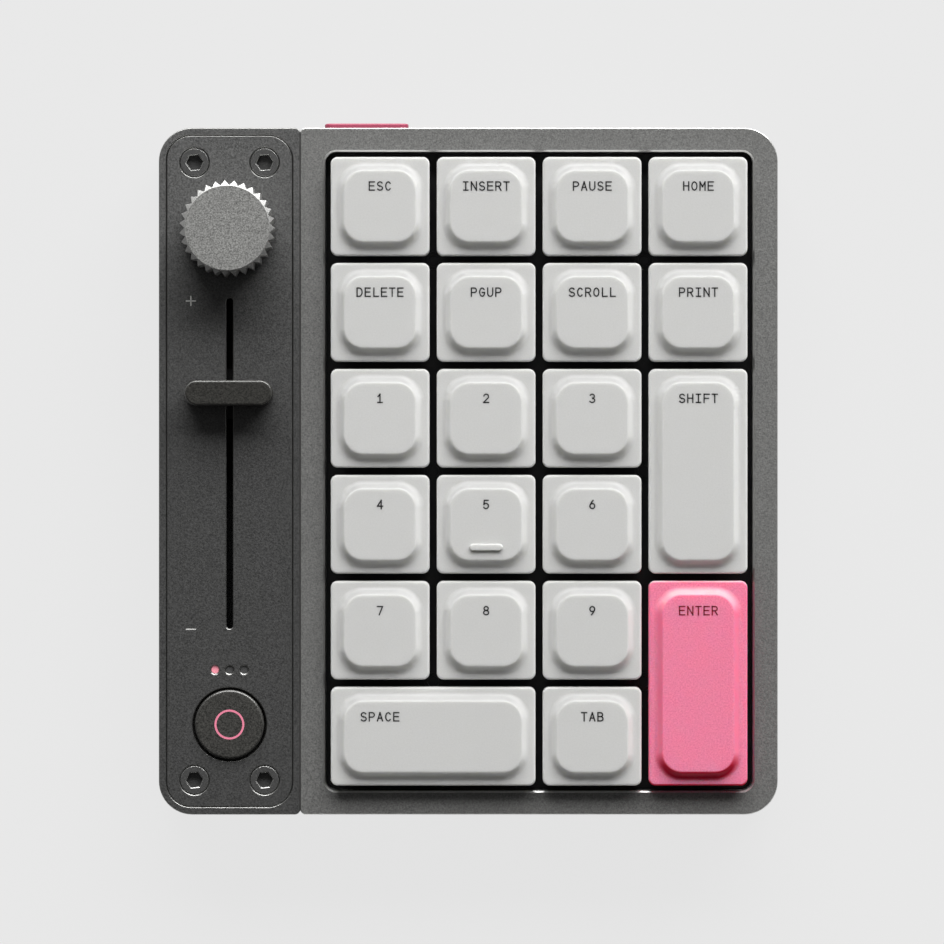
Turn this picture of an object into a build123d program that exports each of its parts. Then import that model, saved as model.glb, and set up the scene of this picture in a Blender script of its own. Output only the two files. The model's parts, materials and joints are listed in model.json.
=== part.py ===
from build123d import *
import os

# Macro keypad: a framed block of keys with a control module along its left side.
# Millimetres, +Z up, +Y to the rear. Shapes are modelled about the middle of the case in plan,
# with the desk at zero height, and moved at the end so that the rear button counts in the middle.

# Key grid
key_pitch = 19.0
key_columns = 4
key_rows = 6
cap_gap = 1.31
well_margin = 1.08
well_corner_radius = 2.0
well_chamfer = 0.33

# Case outline
side_border = 4.48
end_border = 4.28
module_width = 25.4
outer_corner_radius = 6.0
seam_corner_radius = 0.95
edge_break = 0.15

# Case heights
foot_proud = 1.2
case_height = 13.4
cover_thick = 1.6
under_board_gap = 3.6
board_thick = 1.6
board_clearance = 0.2
ledge_thick = 1.0
ledge_width = 1.5
plate_thick = 1.2
plate_clearance = 0.15
cavity_wall = 2.6
cavity_corner_radius = 0.5
board_side_gap = 0.3

# Key caps
cap_corner_radius = 1.2
cap_skirt_height = 3.2
cap_wall = 1.2
cap_deck_thick = 1.0
cap_inner_radius = 0.6
plateau_height = 1.2
plateau_thick = 1.4
plateau_inset = 2.43
plateau_draft = 1.0
plateau_corner_radius = 3.5
plateau_foot_fillet = 1.2
plateau_edge_fillet = 0.45
deck_edge_fillet = 0.35
pocket_wall = 0.8
boss_diameter = 5.5
boss_seat_gap = 0.1
homing_bar_length = 5.9
homing_bar_width = 1.25
homing_bar_height = 0.45
homing_bar_offset = 4.09

# Key switches
key_travel = 2.5
press_clearance = 1.0
switch_spacing = 5.25
switch_cutout_clearance = 0.05
switch_collar_lip = 0.5
switch_collar_thick = 0.8
switch_shoulder_rise = 1.8
switch_rise = 2.8
turret_clearance = 0.25
switch_roof_thick = 0.8
switch_floor_thick = 0.6
spigot_diameter = 6.0
spigot_clearance = 0.2
slider_width = 8.0
slider_thick = 1.1
slider_clearance = 0.2
stop_gap = 0.05
roof_opening_clearance = 0.35
cross_length = 4.0
cross_width = 1.2
cross_height = 3.65
cross_fit = 0.05
spring_diameter = 4.2
spring_wire = 0.4
spring_clearance = 0.3
spring_pin_clearance = 0.2
spring_pin_height = 0.6

# Guides of the double-size caps
guide_spread = 11.94
guide_post_diameter = 3.6
guide_post_overlap = 1.2
guide_running_fit = 0.1
guide_wall = 1.2
guide_collar_width = 0.8
guide_collar_thick = 0.8
guide_rise = 2.0
guide_drop = 1.0

# Case fasteners
case_screw_diameter = 2.0
case_screw_head_diameter = 3.6
case_screw_head_height = 1.1
case_screw_socket = 1.3
case_screw_socket_depth = 0.6
screw_head_clearance = 0.1
screw_hole_clearance = 0.2
thread_fit = 0.05
boss_post_diameter = 5.0
nut_flange_diameter = 4.4
nut_shank_diameter = 3.2
nut_recess = 0.1
joining_screw_head_diameter = 3.4
joining_screw_head_height = 1.6
joining_screw_length = 4.9
joining_screw_spread = 40.0
joining_screw_lift = 1.8

# Feet
foot_diameter = 9.0
foot_recess = 0.8
foot_clearance = 0.1
foot_chamfer = 0.4
foot_corner_inset = 9.5
module_foot_end_inset = 12.0

# Socket and rear button
socket_width = 8.94
socket_height = 3.16
socket_corner_radius = 1.25
socket_length = 7.3
socket_shell = 0.3
socket_depth = 6.2
socket_setback = 0.5
socket_clearance = 0.2
tongue_width = 6.7
tongue_thick = 0.7
tongue_length = 4.9
rear_button_width = 15.2
rear_button_height = 2.8
rear_button_proud = 1.4
rear_button_inset = 4.15
rear_button_clearance = 0.2
rear_button_edge_fillet = 0.3
rear_flange_width = 1.0
rear_flange_thick = 1.0
chip_width = 7.0
chip_thick = 0.9

# Push switches behind both buttons
push_switch_width = 6.0
push_switch_height = 3.0
plunger_diameter = 2.4
plunger_clearance = 0.1
plunger_reach = 0.8
plunger_sunk = 0.8
plunger_room = 0.3
button_travel = 0.4
button_seat_gap = 0.05

# Module shell
rim_width = 1.4
faceplate_corner_radius = 4.4
faceplate_thick = 2.2
faceplate_clearance = 0.06
faceplate_chamfer = 0.14
lip_chamfer = 0.14
module_ledge_width = 1.2
face_screw_spread = 6.3
face_screw_end_inset = 6.2
face_screw_head_diameter = 5.15
face_screw_head_height = 1.4
face_screw_diameter = 3.0
face_screw_length = 7.0
face_screw_hex = 2.6
face_screw_hex_depth = 1.1
face_screw_chamfer = 0.15
face_screw_turn = 6.0
face_screw_sunk = 0.05
column_diameter = 6.6
module_board_lift = 2.0
module_board_side_gap = 0.4
module_board_end_gap = 3.21
board_post_diameter = 4.4
board_post_end_inset = 5.0
board_screw_head_diameter = 3.2
board_screw_head_height = 1.0
board_screw_length = 3.0

# Control knob and encoder
encoder_column_gap = 3.06
knob_diameter = 17.1
knob_valley_depth = 0.93
knob_teeth = 31
knob_disc_diameter = 15.05
knob_chamfer_height = 0.7
knob_height = 8.5
knob_recess_diameter = 13.0
knob_recess_height = 2.6
knob_bore_fit = 0.03
knob_push = 0.5
knob_press_gap = 0.4
encoder_width = 11.7
encoder_wall = 1.2
encoder_floor = 0.6
encoder_roof = 0.8
encoder_top_gap = 0.2
bush_diameter = 7.0
bush_rise = 2.6
bush_hole_clearance = 0.15
nut_width = 10.0
nut_height = 1.8
shaft_diameter = 6.0
shaft_flat_depth = 1.5
shaft_running_fit = 0.05
shaft_flange_diameter = 8.4
shaft_flange_thick = 1.0
shaft_top_gap = 0.2
shaft_cover = 1.5
encoder_plunger_thick = 1.2
encoder_plunger_gap = 0.1

# Slider
slot_width = 1.19
fader_encoder_gap = 1.05
fader_light_gap = 0.95
slider_rest_y = 14.0
slider_cap_length = 15.8
slider_cap_width = 4.55
slider_cap_gap = 0.5
slider_cap_height = 4.3
slider_cap_fillet = 0.45
lever_thick = 0.8
lever_length = 3.0
lever_fit = 0.05
lever_cover = 1.3
fader_width = 8.4
fader_height = 5.2
fader_end_margin = 5.25
fader_wall = 0.8
fader_slot_width = 2.0
fader_slot_margin = 1.0
carriage_length = 9.0
carriage_clearance = 0.1
lever_sunk = 1.6

# Status lights
light_button_gap = 0.9
light_pitch = 2.62
light_diameter = 1.3
light_fit = 0.05
light_recess = 0.3
light_lip = 0.22
light_collar_width = 0.5
light_collar_thick = 0.6
led_length = 1.6
led_width = 0.9
led_height = 0.6
led_gap = 0.1

# Round button
button_column_gap = 0.78
button_diameter = 12.4
button_hole_diameter = 13.3
button_proud = 0.6
button_fillet = 0.45
button_flange_width = 1.1
button_flange_thick = 0.8
button_flange_gap = 0.1
button_stem_diameter = 3.4

# Link between the boards
link_length = 12.0
link_clearance = 0.3
link_seat = 3.0
link_board_gap = 0.15

# Overrun of every cut past the face that it opens
overrun = 1.0

# Places worked out from the sizes above
well_width = key_columns * key_pitch - cap_gap + 2 * well_margin
well_depth = key_rows * key_pitch - cap_gap + 2 * well_margin
main_width = well_width + 2 * side_border
case_depth = well_depth + 2 * end_border
main_x = module_width / 2
module_x = -main_width / 2
seam_x = module_x + module_width / 2
rear_y = case_depth / 2

base_z = foot_proud
top_z = base_z + case_height
cover_top = base_z + cover_thick
board_z = cover_top + under_board_gap
board_top = board_z + board_thick
ledge_z = board_top + board_clearance
plate_z = ledge_z + ledge_thick
plate_top = plate_z + plate_thick

housing_top = plate_top + switch_rise
switch_ceiling = housing_top - switch_roof_thick
switch_floor = board_top + switch_floor_thick
spring_seat = board_z + switch_floor_thick
slider_top = switch_ceiling - stop_gap
slider_bottom = slider_top - slider_thick
skirt_z = plate_top + key_travel + press_clearance
deck_top = skirt_z + cap_skirt_height
cap_top = deck_top + plateau_height
deck_ceiling = deck_top - cap_deck_thick
plateau_ceiling = cap_top - plateau_thick

switch_body_width = key_pitch - switch_spacing
switch_collar_width = switch_body_width + 2 * switch_collar_lip
pocket_inset = plateau_inset + pocket_wall
pocket_radius = plateau_corner_radius - pocket_wall
turret_width = key_pitch - cap_gap - 2 * (pocket_inset + turret_clearance)
turret_radius = pocket_radius - turret_clearance

cavity_width = main_width - 2 * cavity_wall
cavity_depth = case_depth - 2 * cavity_wall
board_width = cavity_width - 2 * board_side_gap
board_depth = cavity_depth - 2 * board_side_gap
rear_inner_y = rear_y - cavity_wall

faceplate_width = module_width - 2 * rim_width
faceplate_length = case_depth - 2 * rim_width
faceplate_z = top_z - faceplate_thick
module_cavity_width = faceplate_width - 2 * module_ledge_width
module_cavity_length = faceplate_length - 2 * module_ledge_width
module_board_z = cover_top + module_board_lift
module_board_top = module_board_z + board_thick
face_screw_y = rear_y - face_screw_end_inset
column_inner_y = face_screw_y - column_diameter / 2
module_board_width = module_cavity_width - 2 * module_board_side_gap
module_board_length = 2 * (column_inner_y - module_board_end_gap)

# Controls along the module, worked inwards from the screw columns at both ends
knob_y = column_inner_y - encoder_column_gap - encoder_width / 2
button_flange_radius = button_hole_diameter / 2 + button_flange_width
button_reach = column_diameter / 2 + button_column_gap + button_flange_radius
button_y = (button_reach**2 - face_screw_spread**2) ** 0.5 - face_screw_y
light_collar_radius = light_diameter / 2 + light_collar_width
light_y = button_y + button_flange_radius + light_button_gap + light_collar_radius
fader_front_y = light_y + light_collar_radius + fader_light_gap
fader_rear_y = knob_y - encoder_width / 2 - fader_encoder_gap
fader_length = fader_rear_y - fader_front_y
slot_length = fader_length - 2 * fader_end_margin
slot_y = (fader_rear_y + fader_front_y) / 2

# Keys: name, first column and row, width and height, as shares of the key pitch
key_shares = [
    ("key_esc", 0, 0, 1, 1),
    ("key_insert", 1, 0, 1, 1),
    ("key_pause", 2, 0, 1, 1),
    ("key_home", 3, 0, 1, 1),
    ("key_delete", 0, 1, 1, 1),
    ("key_page_up", 1, 1, 1, 1),
    ("key_scroll", 2, 1, 1, 1),
    ("key_print", 3, 1, 1, 1),
    ("key_1", 0, 2, 1, 1),
    ("key_2", 1, 2, 1, 1),
    ("key_3", 2, 2, 1, 1),
    ("key_shift", 3, 2, 1, 2),
    ("key_4", 0, 3, 1, 1),
    ("key_5", 1, 3, 1, 1),
    ("key_6", 2, 3, 1, 1),
    ("key_7", 0, 4, 1, 1),
    ("key_8", 1, 4, 1, 1),
    ("key_9", 2, 4, 1, 1),
    ("key_enter", 3, 4, 1, 2),
    ("key_space", 0, 5, 2, 1),
    ("key_tab", 2, 5, 1, 1),
]
homing_key = "key_5"

# Grid crossings that hold a case screw, as shares of the key pitch from the middle
case_screw_column_shares = [-1, 1]
case_screw_row_shares = [-2, 0, 2]


def slab(sketch, low, high):
    """A flat sketch as a solid between two heights."""
    return Pos(0, 0, low) * extrude(sketch, amount=high - low)


def drum(diameter, low, high):
    return slab(Circle(diameter / 2), low, high)


def block(width, depth, low, high):
    return slab(Rectangle(width, depth), low, high)


def group(solids):
    return Compound(list(solids))


def half_round_plan(width, depth, left_radius, right_radius):
    """A rectangle whose left and right corners have their own radii."""
    plan = Rectangle(width, depth)
    plan = fillet(plan.vertices().group_by(Axis.X)[0], left_radius)
    return fillet(plan.vertices().group_by(Axis.X)[-1], right_radius)


def top_face(shape):
    return shape.faces().filter_by(Axis.Z).sort_by(Axis.Z)[-1]


def edges_at(shape, height):
    return shape.edges().filter_by_position(Axis.Z, height, height)


def key_place(column, row, wide, tall):
    """Middle of a key in plan."""
    x = main_x + (column + (wide - 1) / 2 - (key_columns - 1) / 2) * key_pitch
    y = ((key_rows - 1) / 2 - row - (tall - 1) / 2) * key_pitch
    return x, y


def key_places():
    return [Pos(*key_place(*key[1:])) for key in key_shares]


def guide_places(wide, tall):
    """Both guide posts of a double-size cap, about its middle."""
    return [Pos(side * guide_spread * (wide - 1), side * guide_spread * (tall - 1)) for side in (-1, 1)]


def case_screw_places():
    """Grid crossings clear of the switches, one unit either side of the middle column line."""
    return [
        Pos(main_x + column * key_pitch, row * key_pitch)
        for column in case_screw_column_shares
        for row in case_screw_row_shares
    ]


def main_foot_places():
    across = main_width / 2 - foot_corner_inset
    along = rear_y - foot_corner_inset
    return [Pos(main_x + i * across, j * along) for i in (-1, 1) for j in (-1, 1)]


def module_foot_places():
    along = rear_y - module_foot_end_inset
    return [Pos(module_x, j * along) for j in (-1, 1)]


def joining_places():
    return [Pos(0, j * joining_screw_spread, cover_top + joining_screw_lift) for j in (-1, 1)]


def face_screw_places():
    return [
        Pos(module_x + i * face_screw_spread, j * face_screw_y)
        for i in (-1, 1)
        for j in (-1, 1)
    ]


def board_post_places():
    across = module_board_width / 2 - board_post_diameter / 2
    along = module_board_length / 2 - board_post_end_inset
    return [Pos(module_x + i * across, j * along) for i in (-1, 1) for j in (-1, 1)]


# Key caps and switches

def cap_shell(width, depth):
    """Skirted cap with a raised, drafted plateau, hollow underneath."""
    skirt = slab(RectangleRounded(width, depth, cap_corner_radius), skirt_z, deck_top)
    foot_inset = plateau_inset - plateau_draft
    foot = RectangleRounded(
        width - 2 * foot_inset, depth - 2 * foot_inset, plateau_corner_radius + plateau_draft
    )
    crest = RectangleRounded(
        width - 2 * plateau_inset, depth - 2 * plateau_inset, plateau_corner_radius
    )
    cap = skirt + loft([Pos(0, 0, deck_top) * foot, Pos(0, 0, cap_top) * crest], ruled=True)
    deck = [f for f in cap.faces().filter_by(Axis.Z) if abs(f.center().Z - deck_top) < stop_gap][0]
    cap = fillet(deck.inner_wires()[0].edges(), plateau_foot_fillet)
    cap = fillet(top_face(cap).outer_wire().edges(), plateau_edge_fillet)
    deck = [f for f in cap.faces().filter_by(Axis.Z) if abs(f.center().Z - deck_top) < stop_gap][0]
    cap = fillet(deck.outer_wire().edges(), deck_edge_fillet)
    wide_pocket = RectangleRounded(width - 2 * cap_wall, depth - 2 * cap_wall, cap_inner_radius)
    high_pocket = RectangleRounded(width - 2 * pocket_inset, depth - 2 * pocket_inset, pocket_radius)
    cap -= slab(wide_pocket, skirt_z - overrun, deck_ceiling)
    return cap - slab(high_pocket, skirt_z - overrun, plateau_ceiling)


def cross_plan(fit):
    arm = Rectangle(cross_length + 2 * fit, cross_width + 2 * fit)
    return arm + Rot(0, 0, 90) * arm


def cap_boss():
    """Socket under the cap that takes the stem's cross."""
    low = slider_top + boss_seat_gap
    boss = drum(boss_diameter, low, plateau_ceiling)
    return boss - slab(cross_plan(cross_fit), low - overrun, slider_top + cross_height + boss_seat_gap)


def guide_post():
    low = plate_top + guide_rise - guide_post_overlap
    return drum(guide_post_diameter, low, plateau_ceiling)


def homing_bar():
    bar = SlotOverall(homing_bar_length, homing_bar_width)
    solid = slab(bar, cap_top - homing_bar_height, cap_top + homing_bar_height)
    solid = fillet(top_face(solid).outer_wire().edges(), homing_bar_height / 2)
    return Pos(0, -homing_bar_offset) * solid


def key_cap(wide, tall):
    width = wide * key_pitch - cap_gap
    depth = tall * key_pitch - cap_gap
    cap = cap_shell(width, depth) + cap_boss()
    if max(wide, tall) > 1:
        for place in guide_places(wide, tall):
            cap += place * guide_post()
    return cap


def switch_stem():
    """Slider inside the switch, with the cross that carries the cap."""
    slider = block(slider_width, slider_width, slider_bottom, slider_top)
    cross = slab(cross_plan(0), slider_top, slider_top + cross_height)
    pin_diameter = spring_diameter - 2 * spring_wire - 2 * spring_pin_clearance
    return slider + cross + drum(pin_diameter, slider_bottom - spring_pin_height, slider_bottom)


def switch_housing():
    shoulder = plate_top + switch_shoulder_rise
    body = block(switch_body_width, switch_body_width, board_top, shoulder)
    body += block(switch_collar_width, switch_collar_width, plate_top, plate_top + switch_collar_thick)
    body += slab(RectangleRounded(turret_width, turret_width, turret_radius), shoulder, housing_top)
    body += drum(spigot_diameter, board_z, board_top)
    cavity = slider_width + 2 * slider_clearance
    body -= block(cavity, cavity, switch_floor, switch_ceiling)
    body -= drum(spring_diameter + 2 * spring_clearance, spring_seat, switch_floor)
    return body - drum(boss_diameter + 2 * roof_opening_clearance, switch_ceiling, housing_top)


def switch_spring():
    """Return spring as a plain sleeve of the coil's outer size, sealed inside its switch."""
    outer = drum(spring_diameter, spring_seat, slider_bottom)
    return outer - drum(spring_diameter - 2 * spring_wire, spring_seat, slider_bottom)


def guide_bush():
    """Bush in the switch plate that a guide post runs in."""
    bore = guide_post_diameter + 2 * guide_running_fit
    outside = bore + 2 * guide_wall
    bush = drum(outside, plate_z - guide_drop, plate_top + guide_rise)
    bush += drum(outside + 2 * guide_collar_width, plate_top, plate_top + guide_collar_thick)
    return bush - drum(bore, plate_z - guide_drop, plate_top + guide_rise)


# Main case

def main_plan():
    return Pos(main_x, 0) * half_round_plan(
        main_width, case_depth, seam_corner_radius, outer_corner_radius
    )


def rear_opening(sketch):
    """A cut through the rear wall with the given upright section."""
    return extrude(Plane.XZ * sketch, amount=-cavity_wall - overrun)


def socket_z():
    return board_z - socket_height / 2


def rear_button_x():
    return seam_x + rear_button_inset + rear_button_width / 2


def rear_button_z():
    return cover_top + under_board_gap / 2


def link_box(clearance):
    """Link connector's outside, grown by a clearance for its windows."""
    left = module_x + module_board_width / 2 + link_board_gap
    right = seam_x + cavity_wall + link_seat
    wide = right - left
    low = cover_top + under_board_gap / 2
    shape = block(wide, link_length + 2 * clearance, low - clearance, board_z + clearance)
    return Pos((left + right) / 2, 0) * shape


def joining_hole(diameter, length):
    """A round bar along X that starts on the frame's inner wall and runs into the module."""
    bar = Cylinder(diameter / 2, length, rotation=(0, 90, 0))
    return Pos(seam_x + cavity_wall - length / 2, 0) * bar


def main_frame():
    frame = slab(main_plan(), cover_top, top_z)
    well = RectangleRounded(well_width, well_depth, well_corner_radius)
    ledge_in = 2 * ledge_width
    frame -= Pos(main_x, 0) * slab(well, plate_z, top_z + overrun)
    frame = chamfer(top_face(frame).inner_wires()[0].edges(), well_chamfer)
    frame = chamfer(top_face(frame).outer_wire().edges(), edge_break)
    frame -= Pos(main_x, 0) * block(well_width - ledge_in, well_depth - ledge_in, ledge_z, plate_z)
    cavity = RectangleRounded(cavity_width, cavity_depth, cavity_corner_radius)
    frame -= Pos(main_x, 0) * slab(cavity, cover_top - overrun, ledge_z)
    socket_hole = RectangleRounded(
        socket_width + 2 * socket_clearance,
        socket_height + 2 * socket_clearance,
        socket_corner_radius + socket_clearance,
    )
    frame -= Pos(main_x, rear_inner_y, socket_z()) * rear_opening(socket_hole)
    button_hole = SlotOverall(
        rear_button_width + 2 * rear_button_clearance, rear_button_height + 2 * rear_button_clearance
    )
    frame -= Pos(rear_button_x(), rear_inner_y, rear_button_z()) * rear_opening(button_hole)
    frame -= link_box(link_clearance)
    for place in joining_places():
        hole = case_screw_diameter + 2 * screw_hole_clearance
        frame -= place * joining_hole(hole, cavity_wall + overrun)
    return frame


def bottom_cover():
    cover = slab(main_plan(), base_z, cover_top)
    cover = chamfer(edges_at(cover, base_z), edge_break)
    for place in case_screw_places():
        cover += place * drum(boss_post_diameter, cover_top, board_z)
    for place in case_screw_places():
        cover -= place * drum(case_screw_diameter + 2 * screw_hole_clearance, base_z, board_z)
        head = case_screw_head_diameter + 2 * screw_head_clearance
        cover -= place * drum(head, base_z, base_z + case_screw_head_height + screw_head_clearance)
    for place in main_foot_places():
        cover -= place * drum(foot_diameter + 2 * foot_clearance, base_z, base_z + foot_recess)
    return cover


def switch_plate():
    wide = well_width - 2 * plate_clearance
    deep = well_depth - 2 * plate_clearance
    plan = RectangleRounded(wide, deep, well_corner_radius - plate_clearance)
    plate = Pos(main_x, 0) * slab(plan, plate_z, plate_top)
    cutout = switch_body_width + 2 * switch_cutout_clearance
    bush = guide_post_diameter + 2 * (guide_running_fit + guide_wall + guide_running_fit)
    for place in key_places():
        plate -= place * block(cutout, cutout, plate_z, plate_top)
    for place in all_guide_places():
        plate -= place * drum(bush, plate_z, plate_top)
    for place in case_screw_places():
        plate -= place * drum(nut_shank_diameter + 2 * thread_fit, plate_z, plate_top)
    return plate


def all_guide_places():
    places = []
    for name, column, row, wide, tall in key_shares:
        if max(wide, tall) > 1:
            middle = Pos(*key_place(column, row, wide, tall))
            places += [middle * place for place in guide_places(wide, tall)]
    return places


def main_board():
    plan = RectangleRounded(board_width, board_depth, cavity_corner_radius)
    board = Pos(main_x, 0) * slab(plan, board_z, board_top)
    for place in key_places():
        board -= place * drum(spigot_diameter + 2 * spigot_clearance, board_z, board_top)
    for place in case_screw_places():
        board -= place * drum(case_screw_diameter + 2 * screw_hole_clearance, board_z, board_top)
    return board


def controller_chip():
    place = Pos(main_x + key_pitch / 2, key_pitch)
    return place * block(chip_width, chip_width, board_z - chip_thick, board_z)


def clinch_nut():
    high = plate_top - nut_recess
    nut = drum(nut_flange_diameter, board_top, plate_z) + drum(nut_shank_diameter, plate_z, high)
    return nut - drum(case_screw_diameter + 2 * thread_fit, board_top, high)


def hex_socket(width, low, high):
    return slab(RegularPolygon(width / 2, 6, major_radius=False), low, high)


def case_screw():
    seat = base_z + case_screw_head_height + screw_head_clearance
    low = seat - case_screw_head_height
    screw = drum(case_screw_head_diameter, low, seat)
    screw += drum(case_screw_diameter, seat, plate_top - 2 * nut_recess)
    return screw - hex_socket(case_screw_socket, low, low + case_screw_socket_depth)


def rubber_foot():
    foot = drum(foot_diameter, 0, foot_proud + foot_recess)
    return chamfer(edges_at(foot, 0), foot_chamfer)


def usb_socket():
    """Socket shell with its tongue, open to the rear, mounted under the board."""
    mouth_y = rear_y - socket_setback
    outer = RectangleRounded(socket_width, socket_height, socket_corner_radius)
    inner = RectangleRounded(
        socket_width - 2 * socket_shell,
        socket_height - 2 * socket_shell,
        socket_corner_radius - socket_shell,
    )
    shell = extrude(Plane.XZ * outer, amount=socket_length)
    shell -= Pos(0, -socket_depth) * extrude(Plane.XZ * inner, amount=-socket_depth)
    tongue = extrude(Plane.XZ * Rectangle(tongue_width, tongue_thick), amount=-tongue_length)
    shell += Pos(0, -socket_depth) * tongue
    return Pos(main_x, mouth_y, socket_z()) * shell


# Rear button, pressed towards the front

def rear_flange_y():
    return rear_inner_y - button_seat_gap


def rear_plunger_y():
    return rear_flange_y() - rear_flange_thick


def rear_button():
    length = rear_y + rear_button_proud - rear_flange_y()
    button = extrude(Plane.XZ * SlotOverall(rear_button_width, rear_button_height), amount=-length)
    button = fillet(button.faces().sort_by(Axis.Y)[-1].edges(), rear_button_edge_fillet)
    flange = Rectangle(rear_button_width + 2 * rear_flange_width, rear_button_height)
    button += extrude(Plane.XZ * flange, amount=rear_flange_thick)
    return Pos(rear_button_x(), rear_flange_y(), rear_button_z()) * button


def push_switch():
    """Push switch body standing on zero, with the bore that its plunger runs in."""
    body = block(push_switch_width, push_switch_width, 0, push_switch_height)
    bore = plunger_diameter + 2 * plunger_clearance
    depth = plunger_sunk + button_travel + plunger_room
    return body - drum(bore, push_switch_height - depth, push_switch_height)


def push_plunger():
    low = push_switch_height - plunger_sunk
    return drum(plunger_diameter, low, push_switch_height + plunger_reach)


def rear_switch_place():
    """Switch frame with its push axis towards the rear, meeting the rear button."""
    y = rear_plunger_y() - button_seat_gap - plunger_reach - push_switch_height
    return Pos(rear_button_x(), y, rear_button_z()) * Rot(-90, 0, 0)


def rear_switch():
    """Same switch, slimmed to the height under the board."""
    slim = Box(push_switch_width, under_board_gap, 2 * push_switch_height)
    return rear_switch_place() * (push_switch() & slim)


# Module shell

def module_plan():
    return Pos(module_x, 0) * half_round_plan(
        module_width, case_depth, outer_corner_radius, seam_corner_radius
    )


def module_housing():
    shell = slab(module_plan(), base_z, top_z)
    pocket = RectangleRounded(
        faceplate_width + 2 * faceplate_clearance,
        faceplate_length + 2 * faceplate_clearance,
        faceplate_corner_radius + faceplate_clearance,
    )
    shell -= Pos(module_x, 0) * slab(pocket, faceplate_z, top_z + overrun)
    shell = chamfer(top_face(shell).inner_wires()[0].edges(), lip_chamfer)
    shell = chamfer(top_face(shell).outer_wire().edges(), edge_break)
    shell = chamfer(edges_at(shell, base_z), edge_break)
    cavity = RectangleRounded(
        module_cavity_width, module_cavity_length, faceplate_corner_radius - module_ledge_width
    )
    shell -= Pos(module_x, 0) * slab(cavity, cover_top, faceplate_z)
    thread = face_screw_diameter + 2 * thread_fit
    thread_low = top_z - face_screw_sunk - face_screw_head_height - face_screw_length - stop_gap
    for place in face_screw_places():
        shell += place * drum(column_diameter, cover_top, faceplate_z)
    for place in face_screw_places():
        shell -= place * drum(thread, thread_low, faceplate_z)
    for place in board_post_places():
        shell += place * drum(board_post_diameter, cover_top, module_board_z)
    for place in board_post_places():
        low = module_board_top - board_screw_length - stop_gap
        shell -= place * drum(case_screw_diameter + 2 * thread_fit, low, module_board_z)
    for place in module_foot_places():
        shell -= place * drum(foot_diameter + 2 * foot_clearance, base_z, base_z + foot_recess)
    shell -= link_box(link_clearance)
    for place in joining_places():
        hole = case_screw_diameter + 2 * thread_fit
        shell -= place * joining_hole(hole, joining_screw_length + stop_gap)
    return shell


def face_screw():
    high = top_z - face_screw_sunk
    seat = high - face_screw_head_height
    screw = drum(face_screw_head_diameter, seat, high)
    screw += drum(face_screw_diameter, seat - face_screw_length, seat)
    screw -= Rot(0, 0, face_screw_turn) * hex_socket(face_screw_hex, high - face_screw_hex_depth, high)
    screw = chamfer(top_face(screw).inner_wires()[0].edges(), face_screw_chamfer)
    return chamfer(top_face(screw).outer_wire().edges(), face_screw_chamfer)


def lipped_hole(sketch, low, lip):
    """A cut into the faceplate from its top down to a height, with a broken top edge."""
    cut = slab(sketch, low, top_z)
    return cut + Pos(0, 0, top_z) * extrude(offset(sketch, lip), amount=-lip, taper=45)


def module_faceplate():
    plan = RectangleRounded(faceplate_width, faceplate_length, faceplate_corner_radius)
    plate = Pos(module_x, 0) * slab(plan, faceplate_z, top_z)
    plate = chamfer(top_face(plate).outer_wire().edges(), faceplate_chamfer)
    seat = top_z - face_screw_sunk - face_screw_head_height
    head = Circle(face_screw_head_diameter / 2 + screw_head_clearance)
    for place in face_screw_places():
        plate -= place * drum(face_screw_diameter + 2 * screw_hole_clearance, faceplate_z, seat)
        plate -= place * lipped_hole(head, seat, lip_chamfer)
    bush = Circle(bush_diameter / 2 + bush_hole_clearance)
    plate -= Pos(module_x, knob_y) * slab(bush, faceplate_z, top_z)
    slot = Rot(0, 0, 90) * SlotOverall(slot_length, slot_width)
    plate -= Pos(module_x, slot_y) * lipped_hole(slot, faceplate_z, lip_chamfer)
    pipe = Circle(light_diameter / 2 + light_fit)
    for place in light_places():
        plate -= place * lipped_hole(pipe, faceplate_z, light_lip)
    button = Circle(button_hole_diameter / 2)
    plate -= Pos(module_x, button_y) * lipped_hole(button, faceplate_z, lip_chamfer)
    return plate


def module_board():
    board = Pos(module_x, 0) * block(
        module_board_width, module_board_length, module_board_z, module_board_top
    )
    for place in board_post_places():
        hole = case_screw_diameter + 2 * screw_hole_clearance
        board -= place * drum(hole, module_board_z, module_board_top)
    return board


def board_screw():
    high = module_board_top + board_screw_head_height
    screw = drum(board_screw_head_diameter, module_board_top, high)
    screw += drum(case_screw_diameter, module_board_top - board_screw_length, module_board_top)
    return screw - hex_socket(case_screw_socket, high - case_screw_socket_depth, high)


def joining_screw():
    length = joining_screw_head_height
    head = Pos(length, 0) * joining_hole(joining_screw_head_diameter, length)
    return head + joining_hole(case_screw_diameter, joining_screw_length)


def link_connector():
    return link_box(0)


# Encoder and knob, about the knob's axis

def encoder_ceiling():
    return faceplate_z - encoder_top_gap - encoder_roof


def shaft_low():
    return encoder_ceiling() - shaft_top_gap - shaft_flange_thick


def knob_low():
    return top_z + knob_push + knob_press_gap


def encoder_body():
    high = faceplate_z - encoder_top_gap
    cavity = encoder_width - 2 * encoder_wall
    body = block(encoder_width, encoder_width, module_board_top, high)
    body += drum(bush_diameter, high, top_z + bush_rise)
    body -= drum(cavity, module_board_top + encoder_floor, encoder_ceiling())
    bore = shaft_diameter + 2 * shaft_running_fit
    return body - drum(bore, encoder_ceiling(), top_z + bush_rise)


def encoder_nut():
    nut = slab(RegularPolygon(nut_width / 2, 6, major_radius=False), top_z, top_z + nut_height)
    return nut - drum(bush_diameter + 2 * thread_fit, top_z, top_z + nut_height)


def shaft_plan(fit):
    """Round shaft with one flat."""
    radius = shaft_diameter / 2 + fit
    flat_y = shaft_diameter / 2 - shaft_flat_depth + fit
    return Circle(radius) - Pos(0, flat_y + radius) * Rectangle(2 * radius, 2 * radius)


def shaft_high():
    return knob_low() + knob_height - shaft_cover


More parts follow.
